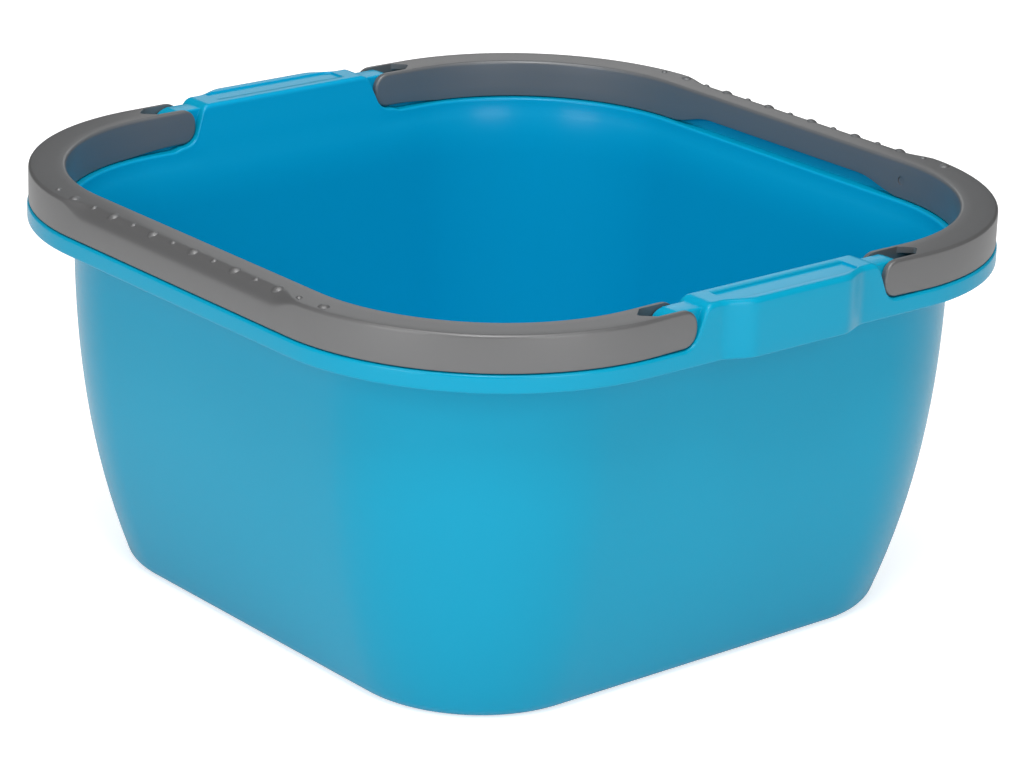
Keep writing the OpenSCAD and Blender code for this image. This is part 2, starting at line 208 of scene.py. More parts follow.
def copyPiece(piece, name):
    fresh = piece.copy()
    fresh.data = piece.data.copy()
    fresh.name = fresh.data.name = name
    bpy.context.scene.collection.objects.link(fresh)
    return fresh


def mirrorCopy(piece, name, x, y):
    fresh = copyPiece(piece, name)
    fresh.scale = (x, y, 1)
    bakePlace(fresh)
    tidyMesh(fresh)
    return fresh


def copyAt(master, at, lean, turn):
    # Leans a copy over backwards, then turns it and sets it down
    fresh = copyPiece(master, master.name)
    fresh.rotation_euler = (0, -lean, turn)
    fresh.location = at
    bakePlace(fresh)
    return fresh


def copyToStations(master, stations):
    # The master stands at the middle station and faces +X
    found = []
    for station in stations:
        turn = math.atan2(station[3], station[2])
        found.append(copyAt(master, place(station, 0, 0), 0, turn))
    bpy.data.objects.remove(master)
    return found


def drawCylinder(radius, length, middle, vertices, rotation):
    bpy.ops.object.select_all(action="DESELECT")
    bpy.ops.mesh.primitive_cylinder_add(
        vertices=vertices, radius=radius * mm, depth=length * mm,
        location=[c * mm for c in middle], rotation=[math.radians(a) for a in rotation])
    piece = bpy.context.object
    bakePlace(piece)
    return piece


def shadeByAngle(piece, degrees):
    selectOnly(piece)
    bpy.ops.object.shade_smooth_by_angle(angle=math.radians(degrees))


# Basin: insets are measured inwards from the rim band's face, heights from the ground
basin = {
    "bandLow": 159.0,
    "bandHeight": 7.7,
    "bandEdge": 1.3,
    "bandFoot": 0.8,
    "innerDrop": 1.5,
    "lip": 1.2,
    "railHeight": 9.3,
    "railDraft": 0.7,
    "railEdge": 0.8,
    "railFoot": 0.12,
    "railOut": 3.6,
    "railIn": 14.0,
    "railStations": (68.2, 72.5),
    "underEdge": ((0.3, 0.25), (1.0, 0.0)),
    "underReach": 1.4,
    "wallInset": 20.3,
    "taper": 25.3,
    "bow": 2.4,
    "flare": 2.8,
    "flareFrom": 148.0,
    "flareRise": 17.0,
    "wall": 2.2,
    "floorTop": 3.8,
    "floorReach": 5.0,
    "baseEdge": 8.0,
    "floorEdge": 9.0,
    "footWidth": 6.0,
    "footStep": ((5.0, 1.2), (1.5, 1.2), (1.0, 1.0), (0.3, 0.15), (-0.2, 0.0)),
    "ribWidth": 1.8,
    "ribTurn": 30,
    "shadeAngle": 32,
}
saddle = {
    "padOut": (bowlHigh.y / mm) - rimHalf,
    "padFlat": 24.0,
    "padRoot": 40.5,
    "padStations": [0, 8, 16, 22],
    "top": bowlHigh.z / mm,
    "innerInset": 16.6,
    "edge": 2.2,
    "endEdge": 4.5,
    "stopLean": math.radians(22),
    "recess": 8.6,
    "lug": 6.7,
    "lugTurn": 83.4,
    "tongueHeight": 15.4,
    "panelHalf": 36.5,
    "panelFrom": 0.4,
    "panelTo": 10.9,
    "panelDepth": 0.8,
    "panelSteps": (4.4, 6.9),
    "panelRim": ((0.4, 0.0), (0.1, 0.1), (0.0, 0.4), (-0.15, 0.9)),
    "bore": 3.06,
    "ribPitch": 22.0,
}
ledge = basin["bandLow"] + basin["bandHeight"]
innerLedge = ledge - basin["innerDrop"]
railUnder = innerLedge - basin["wall"]
railTop = ledge + basin["railHeight"]
tongueTop = ledge + saddle["tongueHeight"]


def wallInset(z):
    # A bowed taper that flares out again into the rim
    bow = basin["taper"] * max(0.0, 1 - z / basin["bandLow"]) ** basin["bow"]
    flare = basin["flare"] * smooth((z - basin["flareFrom"]) / basin["flareRise"])
    return basin["wallInset"] + bow - flare


def wallLean(z):
    slope = basin["taper"] * basin["bow"] / basin["bandLow"]
    return math.atan(slope * (1 - z / basin["bandLow"]) ** (basin["bow"] - 1))


def innerFace(z):
    # The saddle's inner face rises out of the basin's wall and leans out over the top
    low = innerLedge - basin["lip"]
    if z <= low:
        return wallInset(z) + basin["wall"]
    t = (z - low) / (saddle["top"] - low)
    return mix(wallInset(low) + basin["wall"], saddle["innerInset"], t)


def filletEnd(z, radius):
    return z + radius * (1 - math.sin(wallLean(z + radius / 2)))


def saddleEnd():
    # Outline of the saddle's end seen from outside: distance from the middle and height
    lean = saddle["stopLean"]
    top, r, reach = saddle["top"], saddle["endEdge"], saddle["recess"]
    stopX = pivotAcross - (reach + math.sin(lean) * (top - r - pivotHeight)) / math.cos(lean)
    centre = stopX - r / math.cos(lean)
    leanAngle = math.degrees(lean)
    crown = arc(centre, top - r, r, 90, leanAngle, 8)
    bottom = (pivotAcross - reach * math.cos(lean), pivotHeight - reach * math.sin(lean))
    face = [(mix(crown[-1][0], bottom[0], t), mix(crown[-1][1], bottom[1], t)) for t in thirds]
    recess = arc(pivotAcross, pivotHeight, reach, 180 + leanAngle, 270, 12)
    return crown + face + recess


def lugTop(x):
    # Height of the lug over the rail: a flat tongue that ends in a barrel round the pivot
    away = x - pivotAcross
    behind = railTop if away > 0 else tongueTop
    if abs(away) >= saddle["lug"]:
        return behind
    return max(pivotHeight + math.sqrt(saddle["lug"] ** 2 - away ** 2), behind)


def outerPoints():
    # Foot ring, rounded base edge and outer wall
    edge = basin["baseEdge"]
    baseZ = filletEnd(0, edge)
    lean = wallLean(edge / 2)
    centre = wallInset(baseZ) + edge * math.cos(lean)
    footIn = centre + basin["footWidth"]
    points = [(footIn + u, z) for u, z in basin["footStep"]]
    points += [(mix(footIn, centre, 0.5), 0)]
    points += arc(centre, edge, edge, 270, 180 + math.degrees(lean), 8)
    points += [(wallInset(z), z) for z in steps(baseZ, railUnder - 1, 18)[1:]]
    return points


def underPoints(shelf, crest, pad, draft, rise):
    # Hollow under the rail, which widens to the whole saddle
    wall, out, inn = basin["wall"], basin["railOut"], basin["railIn"]
    under = crest - wall - saddle["panelDepth"] * rise
    shelfUnder = min(shelf - wall, under)
    wallTop = wallInset(railUnder)
    points = [(wallTop - u, railUnder - z) for u, z in basin["underEdge"]]
    points += [(mix(inn - wall, wallTop - basin["underReach"], rise), railUnder)]
    points += [(mix(inn - wall - draft, saddle["innerInset"] - wall, rise), under)]
    points += [(out + wall + draft, under), (out + wall, shelfUnder)]
    points += [(wall - pad, shelfUnder), (wall - pad, basin["bandLow"])]
    return points


def bandEdgeAt(shelf):
    return mix(basin["bandEdge"], saddle["edge"], (shelf - ledge) / (saddle["top"] - ledge))


def bandPoints(shelf, pad):
    # Face of the rim band or of the saddle's pad
    foot, low, edge = basin["bandFoot"], basin["bandLow"] + basin["bandFoot"], bandEdgeAt(shelf)
    points = arc(foot - pad, low, foot, 270, 180, 4)
    points += [(-pad, z) for z in steps(low, shelf - edge, 4)[1:-1]]
    points += arc(edge - pad, shelf - edge, edge, 180, 90, 7)
    return points


def flatSteps(x, z):
    return [(x + 0.2 * k, z) for k in range(1, 6)]


def ridgePoints(shelf, inner, crest, draft):
    # Rail or lug; its edges shrink to nothing where the shelf reaches the crest
    out, inn, foot = basin["railOut"], basin["railIn"], basin["railFoot"]
    e, f = (min(basin["railEdge"], (crest - level) / 2) for level in (shelf, inner))
    g, k = (min(foot, (crest - level) / 6) for level in (shelf, inner))
    points = [(out - 0.4, shelf), (out - foot, shelf + g), (out, shelf + 3 * g)]
    points += [(out + draft, crest - e)]
    points += arc(out + draft + e, crest - e, e, 180, 90, 5)[1:] if e > mm else flatSteps(out, crest)
    points += [(mix(out, inn, 0.5), crest)]
    points += arc(inn - draft - f, crest - f, f, 90, 0, 5)[:-1] if f > mm else flatSteps(inn - 1, crest)
    points += [(inn - draft, crest - f)]
    points += [(inn, inner + 3 * k), (inn + foot, inner + k), (inn + 0.4, inner)]
    return points


def panelPoints(shelf, pad, sunk):
    # The saddle's top with its sunk panel, with as many points as the ridge
    top = saddle["top"]
    start, end = max(saddle["panelFrom"], bandEdgeAt(shelf) - pad + 0.5), saddle["panelTo"]
    points = [(start - u, top - share * sunk) for u, share in saddle["panelRim"]]
    near, far = saddle["panelSteps"]
    insets = steps(start + 0.5, near, 4) + [mix(start, end, 0.5)] + steps(far, end - 0.5, 4)
    points += [(u, top - sunk) for u in insets]
    points += [(end + u, top - share * sunk) for u, share in reversed(saddle["panelRim"])]
    return points


def innerPoints(inner, rise):
    # Inner edge or lip, inner wall, rounded floor edge and floor
    edge = mix(basin["lip"], saddle["edge"], rise)
    points = arc(innerFace(inner - edge) - edge, inner - edge, edge, 90, 0, 8)
    low = basin["bandLow"] - 3
    points += [(innerFace(h), h) for h in steps(inner - edge, low, 5)[1:]]
    floor, fillet = basin["floorTop"], basin["floorEdge"]
    floorZ = filletEnd(floor, fillet)
    lean = wallLean(floor + fillet / 2)
    points += [(innerFace(h), h) for h in steps(low, floorZ, 16)[1:-1]]
    centre = wallInset(floorZ) + basin["wall"] + fillet * math.cos(lean)
    points += arc(centre, floor + fillet, fillet, 180 + math.degrees(lean), 270, 10)
    points += [(centre + basin["floorReach"], floor)]
    return points


def basinSection(shelf, inner, crest, pad=0, slide=0, sunk=0, draft=0):
    # Slide turns the ridge's outline into the panel's along the saddle's top
    rise = (inner - innerLedge) / (saddle["top"] - innerLedge)
    points = outerPoints() + underPoints(shelf, crest, pad, draft, rise) + bandPoints(shelf, pad)
    ridge = ridgePoints(shelf, inner, crest, draft)
    for (u, h), (pu, ph) in zip(ridge, panelPoints(shelf, pad, sunk)):
        points.append((mix(u, pu, slide), mix(h, ph, slide)))
    return points + innerPoints(inner, rise)


def basinStations():
    # Half of the +Y side from its middle to the corner, the corner, and half of the -X side
    found = []
    top, root, flat = saddle["top"], saddle["padRoot"], saddle["padFlat"]
    draft = basin["railDraft"]
    end = saddleEnd()

    def add(x, shelf, inner, crest, **more):
        pad = saddle["padOut"] * smooth((root - x) / (root - flat))
        found.append((sideStation(x), basinSection(shelf, inner, crest, pad, **more)))

    edge = saddle["panelHalf"]
    for x in saddle["padStations"] + steps(flat, edge - 0.3, 9) + [edge - 0.1]:
        add(x, top, top, top, slide=1, sunk=saddle["panelDepth"])
    for x in [edge + 0.1, edge + 0.5] + steps(edge + 1, root, 4):
        add(x, top, top, top, slide=1)
    for k, x in enumerate(steps(root + 0.5, end[0][0], 4)[:-1]):
        add(x, top, top, top, slide=1 - smooth((k + 1) / 4))
    for x, z in end:
        add(x, max(z, ledge), max(z, innerLedge), max(z, lugTop(x)))
    foot = end[-1][1]
    for a in steps(0, saddle["lugTurn"], 12)[1:]:
        x = pivotAcross + saddle["lug"] * math.sin(math.radians(a))
        inner = mix(foot, innerLedge, smooth((x - pivotAcross) / 6))
        add(x, ledge, inner, lugTop(x))
    for x in basin["railStations"]:
        add(x, ledge, innerLedge, railTop, draft=draft)
    plain = basinSection(ledge, innerLedge, railTop, draft=draft)
    stations = [sideStation(sideHalf)] + cornerStations(30)
    stations += [gripStation(y) for y in steps(sideHalf, 0, 6)]
    return found + [(station, plain) for station in stations]


def gussetMaster(outline):
    half = Vector((0, basin["ribWidth"] / 2, 0)) * mm
    points = [place(middleStation, u, z) for u, z in outline]
    rib = drawRing("gusset", [v - half for v in points])
    extrudeRings(rib, [points, [v + half for v in points]])
    tidyMesh(rib, fill=True)
    return rib


def buildGussets():
    # Low ribs under the rim at the corners and the plain sides, tall ones in the saddles
    middle, low, pad = basin["wall"] / 2, basin["bandLow"], saddle["padOut"]
    wallPart = [(wallInset(innerLedge) + middle, innerLedge - middle)]
    wallPart += [(wallInset(low + 1) + middle, low + 1)]
    rimPart = [(middle, low + basin["wall"]), (middle, ledge - middle)]
    rimPart += [(basin["railOut"], ledge - middle), (basin["railIn"], innerLedge - middle)]
    high = saddle["top"] - saddle["panelDepth"] - middle
    blockPart = [(middle - pad, low + basin["wall"]), (middle - pad, high)]
    blockPart += [(saddle["innerInset"] - middle, high)]
    corners = [cornerStation(90 + basin["ribTurn"] * k) for k in range(4)]
    rimStations = [mirrorStation(station, x, y) for station in corners for x, y in quadrants]
    blockStations = []
    for k in (-1, 0, 1):
        for side in (-1, 1):
            rimStations.append((side * rimHalf, k * sideHalf / 2, side, 0.0))
            blockStations.append((k * saddle["ribPitch"], side * rimHalf, 0.0, side))
    ribs = copyToStations(gussetMaster(wallPart + rimPart), rimStations)
    return ribs + copyToStations(gussetMaster(wallPart + blockPart), blockStations)


def buildBores():
    low, high = basin["railOut"] - 1, basin["railIn"] + 1
    master = drawCylinder(saddle["bore"], high - low, (0, 0, 0), 48, (90, 0, 0))
    across, along = pivotAcross, rimHalf - (low + high) / 2
    bores = [copyAt(master, Vector((x * across, y * along, pivotHeight)) * mm, 0, 0) for x, y in quadrants]
    bpy.data.objects.remove(master)
    return bores


def buildBasin():
    rings = []
    for station, section in basinStations():
        rings.append([place(station, inset, z) for inset, z in section])
    piece = drawRing("basin_shell", rings[0], closed=False)
    extrudeRings(piece, rings)
    mirrorPiece(piece, True, True)
    tidyMesh(piece, fill=True)
    combine(piece, joinAll(buildGussets()), "UNION")
    combine(piece, joinAll(buildBores()), "DIFFERENCE")
    tidyMesh(piece)
    return piece


print("basin")
basinShell = buildBasin()
print("basin has", len(basinShell.data.vertices), "vertices")


# Handle: a channel whose section opens to the grip's large edge and dips round the corners
handle = {
    "inset": round(rimHalf + handleLow.x / mm, 3),
    "width": 16.4,
    "low": 167.2,
    "height": 15.8,
    "cheek": 2.6,
    "web": 2.6,
    "webCorner": 0.6,
    "edge": 1.5,
    "foot": 0.5,
    "gripEdge": 7.0,
    "gripHalf": 66.0,
    "gripBlend": 18.0,
    "reliefHeight": 5.1,
    "reliefHalf": 50.0,
    "reliefRamp": 26.0,
    "rampStations": (53, 74.5),
    "dip": 1.5,
    "notch": 17.2,
    "notchWide": 11.7,
    "notchTip": 1.6,
    "notchOver": 5,
    "stud": 3.0,
    "studLength": 3.4,
    "studChamfer": 0.6,
    "ribWidth": 1.6,
    "ribLow": 176.5,
    "gripRibs": 5,
    "gripShoulder": 3.2,
    "bendShoulder": 1.3,
    "endTurn": 86.0,
    "endEdge": 1.2,
    "endPower": 2.35,
    "mark": (sideHalf, 173.8),
    "markWidth": 4.0,
    "markDepth": 0.4,
    "shadeAngle": 26,
}
handleTop = handle["low"] + handle["height"]
handleInner = handle["inset"] + handle["width"]
webUnder = handleTop - handle["web"]


def outerEdgeAt(y):
    share = 1 - smooth((abs(y) - handle["gripHalf"]) / handle["gripBlend"])
    return mix(handle["edge"], handle["gripEdge"], share)


def innerLowAt(x, y):
    # The inner cheek rises over the fingers and dips round the corners
    h = handle
    relief = h["reliefHeight"] * (1 - smooth((abs(y) - h["reliefHalf"]) / h["reliefRamp"]))
    dip = h["dip"] * smooth((abs(x) - pivotAcross - h["height"] / 2) / h["reliefRamp"])
    return h["low"] - dip + relief


def channelSection(edge, innerEdge, foot, low):
    o, i, wall, fillet = handle["inset"], handleInner, handle["cheek"], handle["webCorner"]
    outerLow, innerTop = handle["low"] + foot, handleTop - innerEdge
    corner = max(fillet, edge - handle["web"])
    points = arc(o + foot, outerLow, foot, 270, 180, 4)
    points += arc(o + edge, handleTop - edge, edge, 180, 90, 10)
    points += [(mix(o + edge, i - innerEdge, t), handleTop) for t in thirds]
    points += arc(i - innerEdge, innerTop, innerEdge, 90, 0, 6)
    points += [(i, mix(innerTop, low + foot, t)) for t in thirds]
    points += arc(i - foot, low + foot, foot, 0, -90, 4)
    points += arc(i - wall + foot, low + foot, foot, -90, -180, 4)
    points += arc(i - wall - fillet, webUnder - fillet, fillet, 0, 90, 2)
    points += arc(o + wall + corner, webUnder - corner, corner, 90, 180, 5)
    points += arc(o + wall - foot, outerLow, foot, 0, -90, 4)
    return points


def handleStations():
    # Each with the distance that it lies past the pivot, where the cheeks' round ends begin
    found = []
    for y in steps(0, handle["reliefHalf"], 8) + steps(*handle["rampStations"], 8) + [sideHalf]:
        found.append((gripStation(y), 0.0))
    for station in reversed(cornerStations(36)):
        found.append((station, 0.0))
    for x in steps(sideHalf, pivotAcross, 4):
        found.append((sideStation(x), 0.0))
    for a in steps(0, handle["endTurn"], 14)[1:]:
        away = handle["height"] / 2 * math.sin(math.radians(a))
        found.append((sideStation(pivotAcross - away), away))
    return found


def roundEnd(u, z, away):
    # The cheek's end is a disc round the pivot with rounded edges
    q, full = handle["endEdge"], handle["height"] / 2
    depth = min(u - handle["inset"], handleInner - u)
    reach = full - q + math.sqrt(max(0.0, q ** 2 - (q - depth) ** 2)) if depth < q else full
    if away < reach:
        power = handle["endPower"]
        return u, pivotHeight + (z - pivotHeight) * (1 - (away / reach) ** power) ** (1 / power)
    depth = q - math.sqrt(q ** 2 - (away - full + q) ** 2)
    middle = handle["inset"] + handle["width"] / 2
    return (handle["inset"] + depth if u < middle else handleInner - depth), pivotHeight


def handleRings():
    rings = []
    for station, away in handleStations():
        x, y = station[0], station[1]
        near = smooth((sideHalf - abs(x)) / (sideHalf - pivotAcross))
        edge = mix(outerEdgeAt(y), handle["endEdge"], near)
        innerEdge = mix(handle["edge"], handle["endEdge"], near)
        foot = mix(handle["foot"], handle["endEdge"], near)
        section = channelSection(edge, innerEdge, foot, innerLowAt(x, y))
        rings.append([place(station, *roundEnd(u, z, away)) for u, z in section])
    return rings


def notchTool():
    # Slot between the cheeks, drawn in to a small round point at its far end
    o, i = handle["inset"] + handle["cheek"], handleInner - handle["cheek"]
    half, middle = (i - o) / 2, rimHalf - (o + i) / 2
    tip, near = handle["notchTip"], -pivotAcross + handle["height"]
    far, wide = -pivotAcross - handle["notch"] + tip, -pivotAcross - handle["notchWide"]
    outline = [(wide, middle + half)] + arc(far, middle, tip, 125, 235, 12) + [(wide, middle - half)]
    outline += [(near, middle - half), (near, middle + half)]
    low, high = handle["low"] - handle["notchOver"], handleTop + handle["notchOver"]
    rings = [[Vector((x * mm, y * mm, z * mm)) for x, y in outline] for z in (low, high)]
    slot = drawRing("notch", rings[0])
    extrudeRings(slot, rings)
    tidyMesh(slot, fill=True)
    return joinAll([slot, mirrorCopy(slot, "notchFar", 1, -1)])


def markTool():
    # Round moulding mark on the inner cheek, where the grip runs into its bend
    along, height = handle["mark"]
    middle = (handleInner - rimHalf, -along, height)
    return drawCylinder(handle["markWidth"] / 2, 2 * handle["markDepth"], middle, 32, (0, 90, 0))


def studMaster():
    # Rooted in a cheek's inner side at y = 0, pointing to +Y and chamfered at its tip
    root, tip = handle["cheek"] / 2, handle["studLength"]
    stud = drawCylinder(handle["stud"], root + tip, (0, (tip - root) / 2, 0), 48, (90, 0, 0))
    bpy.ops.object.mode_set(mode="EDIT")
    bpy.ops.mesh.select_mode(type="FACE")
    bpy.ops.mesh.select_all(action="DESELECT")
    mesh = bmesh.from_edit_mesh(stud.data)
    for face in mesh.faces:
        if all(abs(v.co.y - tip * mm) < 0.01 * mm for v in face.verts):
            face.select_set(True)
    bmesh.update_edit_mesh(stud.data)
    bpy.ops.mesh.bevel(offset=handle["studChamfer"] * mm, segments=2, affect="EDGES")
    bpy.ops.object.mode_set(mode="OBJECT")
    return stud


def buildStuds():
    master = studMaster()
    outer, inner = rimHalf - handle["inset"] - handle["cheek"], rimHalf - handleInner + handle["cheek"]
    studs = []
    for y, direction in ((outer, -1), (inner, 1), (-outer, 1), (-inner, -1)):
        turn = 0 if direction > 0 else math.pi
        studs.append(copyAt(master, Vector((-pivotAcross, y, pivotHeight)) * mm, 0, turn))
    bpy.data.objects.remove(master)
    return studs


def crossRibs(shoulder, stations):
    # Ribs under the web, kept inside the channel's rounded shoulder
    o, i = handle["inset"] + shoulder, handleInner - handle["cheek"] / 2
    low, high = handle["ribLow"], webUnder + handle["web"] / 2
    bpy.ops.object.select_all(action="DESELECT")
    bpy.ops.mesh.primitive_cube_add(size=1)
    rib = bpy.context.object
    rib.name = "crossRib"
    rib.scale = ((i - o) * mm, handle["ribWidth"] * mm, (high - low) * mm)
    rib.location = place(middleStation, (o + i) / 2, (low + high) / 2)
    bakePlace(rib)
    return copyToStations(rib, stations)


# Grip bumps, large and small in turn
bumps = {
    "count": 14,
    "pitch": 14.4,
    "inset": 4.9,
    "large": (5.0, 1.02),
    "small": (2.9, 0.75),
    "sink": 0.8,
    "segments": 24,
    "rings": 5,
}


def bumpMaster(diameter, height):
    # A low dome on a short plug that sinks into the grip
    radius = (diameter ** 2 / 4 + height ** 2) / (2 * height)
    reach = math.degrees(math.asin(min(1.0, diameter / 2 / radius)))
    profile = [(diameter / 2, -bumps["sink"])]
    profile += arc(0, height - radius, radius, 90 - reach, 90, bumps["rings"])[:-1]
    turns = [2 * math.pi * k / bumps["segments"] for k in range(bumps["segments"])]
    rings = [[Vector((r * math.cos(a), r * math.sin(a), z)) * mm for a in turns] for r, z in profile]
    dome = drawRing("bump", rings[0])
    extrudeRings(dome, rings)
    tidyMesh(dome, fill=True)
    return dome


def bumpPlace(y):
    # On the grip's shoulder; past the straight part it follows the corner
    past = max(abs(y) - sideHalf, 0)
    reach = cornerRadius - handle["inset"] - bumps["inset"]
    turn = math.copysign(math.asin(past / reach), y)
    edge = outerEdgeAt(y)
    lean = math.asin(max(0, edge - bumps["inset"]) / edge)
    x = -(sideHalf + reach * math.cos(turn))
    return Vector((x, y, handleTop - edge + edge * math.cos(lean))) * mm, lean, -turn


def buildBumps():
    masters = [bumpMaster(*bumps["large"]), bumpMaster(*bumps["small"])]
    first = -(bumps["count"] - 1) / 2 * bumps["pitch"]
    domes = [copyAt(masters[k % 2], *bumpPlace(first + k * bumps["pitch"])) for k in range(bumps["count"])]
    for master in masters:
        bpy.data.objects.remove(master)
    return domes


def buildHandle():
    rings = handleRings()
    piece = drawRing("left_bail", rings[0])
    extrudeRings(piece, rings)
    mirrorPiece(piece, False, True)
    tidyMesh(piece, fill=True)
    combine(piece, notchTool(), "DIFFERENCE")
    combine(piece, markTool(), "DIFFERENCE")
    gripPlaces = [gripStation(y) for y in steps(-sideHalf, sideHalf, handle["gripRibs"] + 1)[1:-1]]
    bendPlaces = [mirrorStation(station, 1, side) for station in cornerStations(4) for side in (1, -1)]
    gripRibs = crossRibs(handle["gripShoulder"], gripPlaces)
    bendRibs = crossRibs(handle["bendShoulder"], bendPlaces)
    for group in (buildBumps(), buildStuds(), gripRibs, bendRibs):
        combine(piece, joinAll(group), "UNION")
    tidyMesh(piece)
    return piece


print("handles")
leftBail = buildHandle()
rightBail = mirrorCopy(leftBail, "right_bail", -1, 1)
print("handle has", len(leftBail.data.vertices), "vertices")

shadeByAngle(basinShell, basin["shadeAngle"])
shadeByAngle(leftBail, handle["shadeAngle"])
shadeByAngle(rightBail, handle["shadeAngle"])


# Shader maths as Python expressions
class Wire:
    def __init__(self, shader, socket):
        self.shader = shader
        self.socket = socket

    def calc(self, operation, first, second):
        return self.shader.node("ShaderNodeMath", {"operation": operation}, {0: first, 1: second})

    def __add__(self, other):
        return self.calc("ADD", self, other)

    def __radd__(self, other):
        return self.calc("ADD", other, self)

    def __sub__(self, other):
        return self.calc("SUBTRACT", self, other)

    def __rsub__(self, other):
        return self.calc("SUBTRACT", other, self)

    def __mul__(self, other):
        return self.calc("MULTIPLY", self, other)

    def __rmul__(self, other):
        return self.calc("MULTIPLY", other, self)

    def clamp(self):
        return self.calc("MAXIMUM", self.calc("MINIMUM", self, 1.0), 0.0)


class Shader:
    def __init__(self, owner):
        owner.use_nodes = True
        self.tree = owner.node_tree
        self.tree.nodes.clear()

    def node(self, kind, settings=None, inputs=None, output=0):
        made = self.tree.nodes.new(kind)
        for key, value in (settings or {}).items():
            setattr(made, key, value)
        for key, value in (inputs or {}).items():
            if isinstance(value, Wire):
                self.tree.links.new(value.socket, made.inputs[key])
            else:
                made.inputs[key].default_value = value
        return Wire(self, made.outputs[output]) if made.outputs else None


def fromSrgb(r, g, b):
    def linear(c):
        c /= 255
        return c / 12.92 if c <= 0.04045 else ((c + 0.055) / 1.055) ** 2.4
    return (linear(r), linear(g), linear(b), 1.0)


plastics = {
    "basin": {
        "colour": (0, 154, 189),
        "deep": (0, 148, 183),
        # Painted light: the inside is the same moulding as the outside, and this lighter, bluer tone
        # stands in for how light falls inside the basin
        "inner": (0, 160, 206),
        "roughness": 0.24,
        "roughnessSpread": 0.03,
        "specular": 0.5,
        "ior": 1.31,
        "coat": 0.0,
        "coatRoughness": 0.2,
        "grain": 0.05,
    },
    "handles": {
        "colour": (86, 86, 86),
        "deep": (81, 81, 82),
        # Painted light: lighter and a little blue, standing in for light bounced off the blue basin onto
        # the handles' inner faces
        "inner": (96, 99, 102),
        "roughness": 0.45,
        "roughnessSpread": 0.05,
        "specular": 0.95,
        "ior": 1.6,
        "coat": 0.2,
        "coatRoughness": 0.16,
        "grain": 0.08,
    },
}
# What both plastics share: noise scales, how the fine grain shows, and where the painted inside light
# begins on faces that look towards the middle
moulding = {
    "slowScale": 9.0,
    "fineScale": 900.0,
    "scuffScale": 60.0,
    "fineSpread": 0.03,
    "grainDepth": 0.0002,
    "paintedLightFrom": 0.3,
    "paintedLightSlope": 1.2,
}


def noise(s, at, scale, detail, roughness=0.5):
    inputs = {"Vector": at, "Scale": scale, "Detail": detail, "Roughness": roughness}
    return s.node("ShaderNodeTexNoise", None, inputs)


def mixColour(s, share, first, second):
    return s.node("ShaderNodeMix", {"data_type": "RGBA"}, {0: share, 6: first, 7: second}, output=2)


def mouldedPlastic(name, look):
    # Slow change of tone, fine moulding grain, a roughness that wanders, and painted light on faces that
    # look towards the middle
    m = moulding
    material = bpy.data.materials.new(name)
    s = Shader(material)
    at = s.node("ShaderNodeTexCoord", output="Object")
    normal = s.node("ShaderNodeTexCoord", output="Normal")
    slow = noise(s, at, m["slowScale"], 2.0)
    fine = noise(s, at, m["fineScale"], 3.0)
    scuff = noise(s, at, m["scuffScale"], 6.0, 0.7)
    # Faces that look towards the middle take the inner colour. This is painted light: a lighter tone
    # standing in for how light falls inside the basin, and on the handles a blue tint standing in for
    # light bounced off the basin
    flat = s.node("ShaderNodeVectorMath", {"operation": "MULTIPLY"}, {0: at, 1: (1, 1, 0)})
    outward = s.node("ShaderNodeVectorMath", {"operation": "NORMALIZE"}, {0: flat})
    facing = s.node("ShaderNodeVectorMath", {"operation": "DOT_PRODUCT"}, {0: outward, 1: normal}, "Value")
    paintedInsideLight = (m["paintedLightFrom"] - facing * m["paintedLightSlope"]).clamp()
    outer = mixColour(s, slow, fromSrgb(*look["colour"]), fromSrgb(*look["deep"]))
    tone = mixColour(s, paintedInsideLight, outer, fromSrgb(*look["inner"]))
    rough = look["roughness"] + (scuff - 0.5) * look["roughnessSpread"] + (fine - 0.5) * m["fineSpread"]
    bump = s.node("ShaderNodeBump", None, {
        "Strength": look["grain"], "Distance": m["grainDepth"], "Height": fine})
    shader = s.node("ShaderNodeBsdfPrincipled", None, {
        "Base Color": tone, "Roughness": rough, "Normal": bump,
        "Specular IOR Level": look["specular"], "IOR": look["ior"],
        "Coat Weight": look["coat"], "Coat Roughness": look["coatRoughness"]})
    s.node("ShaderNodeOutputMaterial", None, {"Surface": shader})
    return material


def finish(piece, material, body, node):
    piece.data.materials.clear()
    piece.data.materials.append(material)
    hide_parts(node)
    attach(piece, body)


print("materials")
blue = mouldedPlastic("basin_plastic", plastics["basin"])
grey = mouldedPlastic("handle_plastic", plastics["handles"])
finish(basinShell, blue, "bowl", "bowl")
finish(leftBail, grey, "left_handle", "left_handle")
finish(rightBail, grey, "right_handle", "right_handle")

# Floor, world and camera; the angles are radians and the distances metres
studio = {
    "white": (1, 1, 1, 1),
    "floorSize": 12.0,
    "floorGrey": (0.8, 0.8, 0.8, 1),
    "floorSeen": 0.62,
    "floorBounced": 0.13,
    "worldFill": 0.34,
    "worldMirrored": 0.05,
    "worldSeen": 1.0,
    "azimuth": 0.7043,
    "elevation": 0.3459,
    "distance": 1.7438,
    "target": (0.0000647, -0.0052798, 0.0888474),
    "roll": 0.035,
    "focalPixels": 3935.1,
    "imageWidth": 1024,
    "sensor": 36.0,
    "clipEnd": 50,
}


def glowFor(s, kind, strength):
    return s.node(kind, None, {"Color": studio["white"], "Strength": studio[strength]})


def mixByRay(s, ray, first, second):
    path = s.node("ShaderNodeLightPath", output=ray)
    return s.node("ShaderNodeMixShader", None, {0: path, 1: first, 2: second})


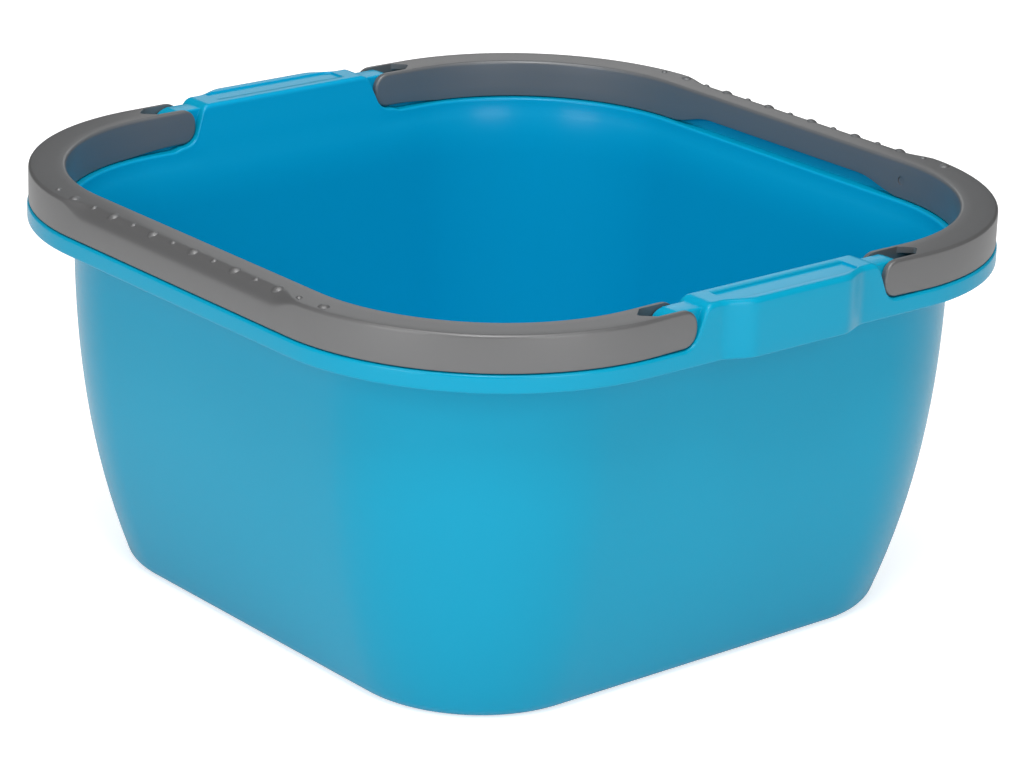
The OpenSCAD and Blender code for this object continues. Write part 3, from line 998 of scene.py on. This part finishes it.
def buildFloor():
    # A plain floor that glows to white in the camera and keeps the object's shadow
    bpy.ops.object.select_all(action="DESELECT")
    bpy.ops.mesh.primitive_plane_add(size=studio["floorSize"])
    floor = bpy.context.object
    floor.name = "floor"
    material = bpy.data.materials.new("floor_white")
    s = Shader(material)
    diffuse = s.node("ShaderNodeBsdfDiffuse", None, {"Color": studio["floorGrey"]})
    bounced, seen = (glowFor(s, "ShaderNodeEmission", key) for key in ("floorBounced", "floorSeen"))
    glow = mixByRay(s, "Is Camera Ray", bounced, seen)
    surface = s.node("ShaderNodeAddShader", None, {0: diffuse, 1: glow})
    s.node("ShaderNodeOutputMaterial", None, {"Surface": surface})
    floor.data.materials.append(material)


def buildWorld():
    # White behind the object, a soft fill on it and little to mirror in its edges
    world = bpy.data.worlds.new("studio")
    bpy.context.scene.world = world
    s = Shader(world)
    fill, mirrored, seen = (glowFor(s, "ShaderNodeBackground", key)
                            for key in ("worldFill", "worldMirrored", "worldSeen"))
    lit = mixByRay(s, "Is Camera Ray", mixByRay(s, "Is Glossy Ray", fill, mirrored), seen)
    s.node("ShaderNodeOutputWorld", None, {"Surface": lit})


lamps = {
    "leftBox": {"at": (-1.13, -0.3, 0.5), "size": (0.5, 0.85), "power": 4.2},
    "rightBox": {"at": (-0.2, -1.2, 0.5), "size": (0.5, 0.85), "power": 4.0},
    "front": {"at": (-0.85, -1.0, 2.3), "size": (0.6, 0.6), "power": 18.0},
    "side": {"at": (-2.4, 0.5, 1.0), "size": (1.2, 1.2), "power": 2.0},
    "top": {"at": (-0.2, -0.2, 2.5), "size": (2.0, 2.0), "power": 27.0},
    "rear": {"at": (0.85, 1.0, 0.62), "size": (0.6, 0.4), "power": 0.8},
}


def buildLamps():
    for name, lamp in lamps.items():
        bpy.ops.object.light_add(type="AREA", location=lamp["at"])
        light = bpy.context.object
        light.name = name
        light.data.shape = "RECTANGLE"
        light.data.size, light.data.size_y = lamp["size"]
        light.data.energy = lamp["power"]
        aim = Vector(studio["target"]) - Vector(lamp["at"])
        light.rotation_mode = "QUATERNION"
        light.rotation_quaternion = aim.to_track_quat("-Z", "Y")


def buildCamera():
    a, e = studio["azimuth"], studio["elevation"]
    back = Vector((-math.sin(a) * math.cos(e), -math.cos(a) * math.cos(e), math.sin(e)))
    bpy.ops.object.camera_add(location=Vector(studio["target"]) + back * studio["distance"])
    camera = bpy.context.object
    camera.rotation_mode = "QUATERNION"
    level = (-back).to_track_quat("-Z", "Y")
    camera.rotation_quaternion = level @ Quaternion((0, 0, 1), studio["roll"])
    camera.data.sensor_width = studio["sensor"]
    camera.data.lens = studio["focalPixels"] * studio["sensor"] / studio["imageWidth"]
    camera.data.clip_end = studio["clipEnd"]
    bpy.context.scene.camera = camera


print("studio")
buildFloor()
buildWorld()
buildLamps()
buildCamera()
bpy.context.scene.view_settings.view_transform = "Standard"
